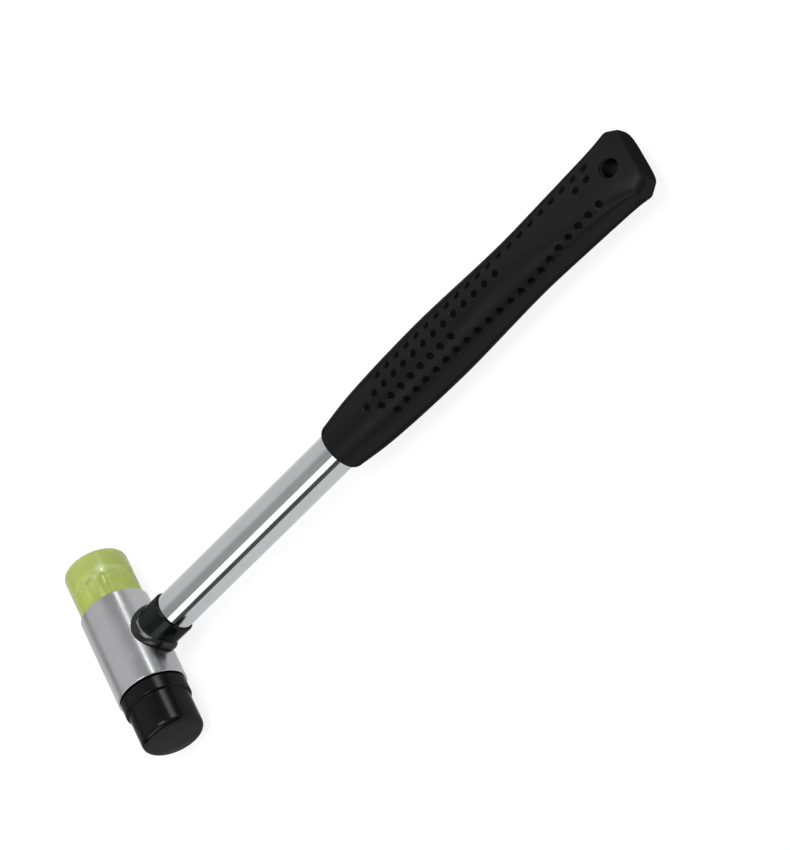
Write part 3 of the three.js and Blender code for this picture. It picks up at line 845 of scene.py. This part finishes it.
# %% [markdown]
# ## The floor
# The hammer lies on a wide white floor. What the camera or clear plastic sees of it is partly its own
# light, so that it stays white, and partly what falls on it, so that it keeps a soft shadow. Mirrors
# see it dimmer, which keeps the tube's near side grey.

# %% Lay the floor
FLOOR_HALF = 4.0
floor_mesh = bpy.data.meshes.new("floor")
floor_corners = np.array([(-1, -1, 0), (1, -1, 0), (1, 1, 0), (-1, 1, 0)]) * FLOOR_HALF
floor_mesh.from_pydata(floor_corners.tolist(), [], [(0, 1, 2, 3)])
floor = bpy.data.objects.new("floor", floor_mesh)
bpy.context.scene.collection.objects.link(floor)
print(f"floor: {2 * FLOOR_HALF} m square")

# %% Make it white
FLOOR_GLOW = 0.84
MIRROR_GLOW = 0.60
white_floor = new_finish("white_floor", color=(0.28, 0.28, 0.28), roughness=0.9, specular_ior_level=0.0)
ray = add(white_floor, "ShaderNodeLightPath").outputs
straight = larger(white_floor, ray["Is Camera Ray"], ray["Is Transmission Ray"])
seen = spread(white_floor, straight, 0.0, 1.0, 0.0, FLOOR_GLOW)
mirrored = spread(white_floor, ray["Is Glossy Ray"], 0.0, 1.0, 0.0, MIRROR_GLOW)
floor_shader = white_floor.node_tree.nodes["Principled BSDF"]
floor_shader.inputs["Emission Color"].default_value = (1.0, 1.0, 1.0, 1.0)
join(white_floor, larger(white_floor, seen, mirrored), floor_shader.inputs["Emission Strength"])
floor_mesh.materials.append(white_floor)
print(f"floor's own light: {FLOOR_GLOW} to the eye, {MIRROR_GLOW} in mirrors")

# %% [markdown]
# ## The room
# The room is pale behind the hammer and overhead, and greyer on the near side and to the right. A dark
# band low down on the near side draws the dark stripe in the chrome, and a dim strip low down beyond
# the head keeps the barrel's far side from going white. The world's Generated coordinates are the
# direction of a ray, so each part of the room is a smooth step in X, Y or Z.

# %% Paint the room
ROOM_PALE = 0.78
ROOM_GREY = 0.47
ROOM_DARK = 0.10
STRIP_DIM = 0.5
# Where each edge of a part of the room begins and is complete, in the direction's X, Y or Z
BACK_EDGE = (-0.05, 0.5)
RIGHT_EDGE = (0.5, -0.25)
NEAR_EDGE = (-0.1, -0.5)
BAND_TOP = (0.40, 0.33)
STRIP_FOOT = (0.02, 0.25)
STRIP_TOP = (0.55, 0.30)
STRIP_SIDE = (-0.55, -0.8)
world = bpy.data.worlds.new("studio")
bpy.context.scene.world = world
world.use_nodes = True
sky = world.node_tree.nodes
wires = world.node_tree.links
background = sky["Background"]
background.inputs["Color"].default_value = (1.0, 1.0, 1.0, 1.0)


def step(source, start, stop, low=0.0, high=1.0):
    """A smooth rise from low, where the source is at start, to high, where it is at stop."""
    node = sky.new("ShaderNodeMapRange")
    node.interpolation_type = "SMOOTHSTEP"
    wires.new(source, node.inputs[0])
    for place, value in enumerate((start, stop, low, high), 1):
        node.inputs[place].default_value = value
    return node.outputs[0]


def combine(operation, one, two):
    """Two signals put through one operation."""
    node = sky.new("ShaderNodeMath")
    node.operation = operation
    wires.new(one, node.inputs[0])
    wires.new(two, node.inputs[1])
    return node.outputs[0]


direction = sky.new("ShaderNodeSeparateXYZ")
wires.new(sky.new("ShaderNodeTexCoord").outputs["Generated"], direction.inputs["Vector"])
along, back_wall, height = (direction.outputs[axis] for axis in "XYZ")
far_left = combine("MINIMUM", step(back_wall, *BACK_EDGE), step(along, *RIGHT_EDGE))
level = step(far_left, 0.0, 1.0, ROOM_GREY, ROOM_PALE)
near_and_low = combine("MULTIPLY", step(height, *BAND_TOP), step(back_wall, *NEAR_EDGE))
band = step(near_and_low, 0.0, 1.0, 1.0, ROOM_DARK / ROOM_GREY)
low_strip = combine("MULTIPLY", step(height, *STRIP_FOOT), step(height, *STRIP_TOP))
beyond_head = combine("MULTIPLY", low_strip, step(along, *STRIP_SIDE))
strip = step(beyond_head, 0.0, 1.0, 1.0, STRIP_DIM)
shade = combine("MULTIPLY", combine("MULTIPLY", level, band), strip)
wires.new(shade, background.inputs["Strength"])
print(f"room: {ROOM_PALE} behind, {ROOM_GREY} on the near side, {ROOM_DARK} in the band")

# %% [markdown]
# ## The lamps
# A soft lamp overhead lights the colours. Two more stand where the tube and the barrel mirror them and
# draw the white stripe on each. The last two light one piece each, by light linking: a long one draws
# the glint along the collar's lip, and a wide one the streak on the rubber. Shared with the barrel,
# they would draw stripes that it doesn't have.


# %% Place the lamps
LAMP_DISTANCE = 1.2


def soft_lamp(name, towards, width, length, along, radiance):
    """A rectangle of light facing the middle of the hammer. Its power is radiance times pi times its
    area, so radiance 1 looks as bright as white."""
    back = Vector(towards).normalized()
    across = Vector(along).cross(back).normalized()
    lamp = bpy.data.lights.new(name, "AREA")
    lamp.shape = "RECTANGLE"
    lamp.size = width
    lamp.size_y = length
    lamp.energy = radiance * math.pi * width * length
    holder = bpy.data.objects.new(name, lamp)
    bpy.context.scene.collection.objects.link(holder)
    turn = Matrix((across, back.cross(across), back)).transposed()
    holder.matrix_world = Matrix.Translation(back * LAMP_DISTANCE) @ turn.to_4x4()
    print(f"{name}: {lamp.energy:.1f} W")
    return holder


def light_only(lamp, piece):
    """The lamp reaches what is in its receiver collection, and that holds one piece."""
    lit_pieces = bpy.data.collections.new(f"lit_by_{lamp.name}")
    lit_pieces.objects.link(piece)
    lamp.light_linking.receiver_collection = lit_pieces


ALONG_HANDLE = (1, 0, 0)
ALONG_HEAD = (0, 1, 0)
ALONG_LIP = (-0.34, 0.97, -0.16)
soft_lamp("tube_stripe", (-0.449, -0.676, 0.584), 0.54, 1.0, ALONG_HANDLE, radiance=1.62)
soft_lamp("barrel_stripe", (0.734, 0.502, 0.458), 0.14, 1.0, ALONG_HEAD, radiance=2.7)
soft_lamp("top_light", (0.25, -0.02, 0.97), 0.42, 0.55, ALONG_HEAD, radiance=6.5)
collar_light = soft_lamp("collar_light", (0.44, 0.27, 0.77), 0.28, 1.4, ALONG_LIP, radiance=6.5)
rubber_light = soft_lamp("rubber_light", (0.76, 0.502, 0.41), 0.40, 1.0, ALONG_HEAD, radiance=3.4)
light_only(collar_light, collar)
light_only(rubber_light, rubber_tip)

# %% [markdown]
# ## The camera
# The photo was taken from above with a long lens. The camera looks at a point on the hammer from an
# azimuth and an elevation, and is rolled until the handle runs to the upper right.

# %% Set up the camera
AZIMUTH = math.radians(41.807)
ELEVATION = math.radians(47.701)
ROLL = math.radians(77.923)
TARGET = Vector((6.62, -4.05, 5.74)) * MM
DISTANCE = 1467.5 * MM
LENS = 190.6
back = Vector((
    math.sin(AZIMUTH) * math.cos(ELEVATION),
    -math.cos(AZIMUTH) * math.cos(ELEVATION),
    math.sin(ELEVATION),
))
level_right = Vector((math.cos(AZIMUTH), math.sin(AZIMUTH), 0))
level_up = back.cross(level_right)
up = math.sin(ROLL) * level_right + math.cos(ROLL) * level_up
facing = Matrix((up.cross(back), up, back)).transposed()
camera_data = bpy.data.cameras.new("camera")
camera_data.lens = LENS
camera = bpy.data.objects.new("camera", camera_data)
bpy.context.scene.collection.objects.link(camera)
camera.matrix_world = Matrix.Translation(TARGET + back * DISTANCE) @ facing.to_4x4()
bpy.context.scene.camera = camera
bpy.context.scene.view_settings.view_transform = "Standard"
print("camera at", tuple(round(v, 4) for v in camera.matrix_world.translation))

# %% [markdown]
# ## Sizes
# The dressed hammer has to stay in the imported model's box. The last cell only brings the scene up to
# date.

# %% Bring the scene up to date
bpy.context.view_layer.update()
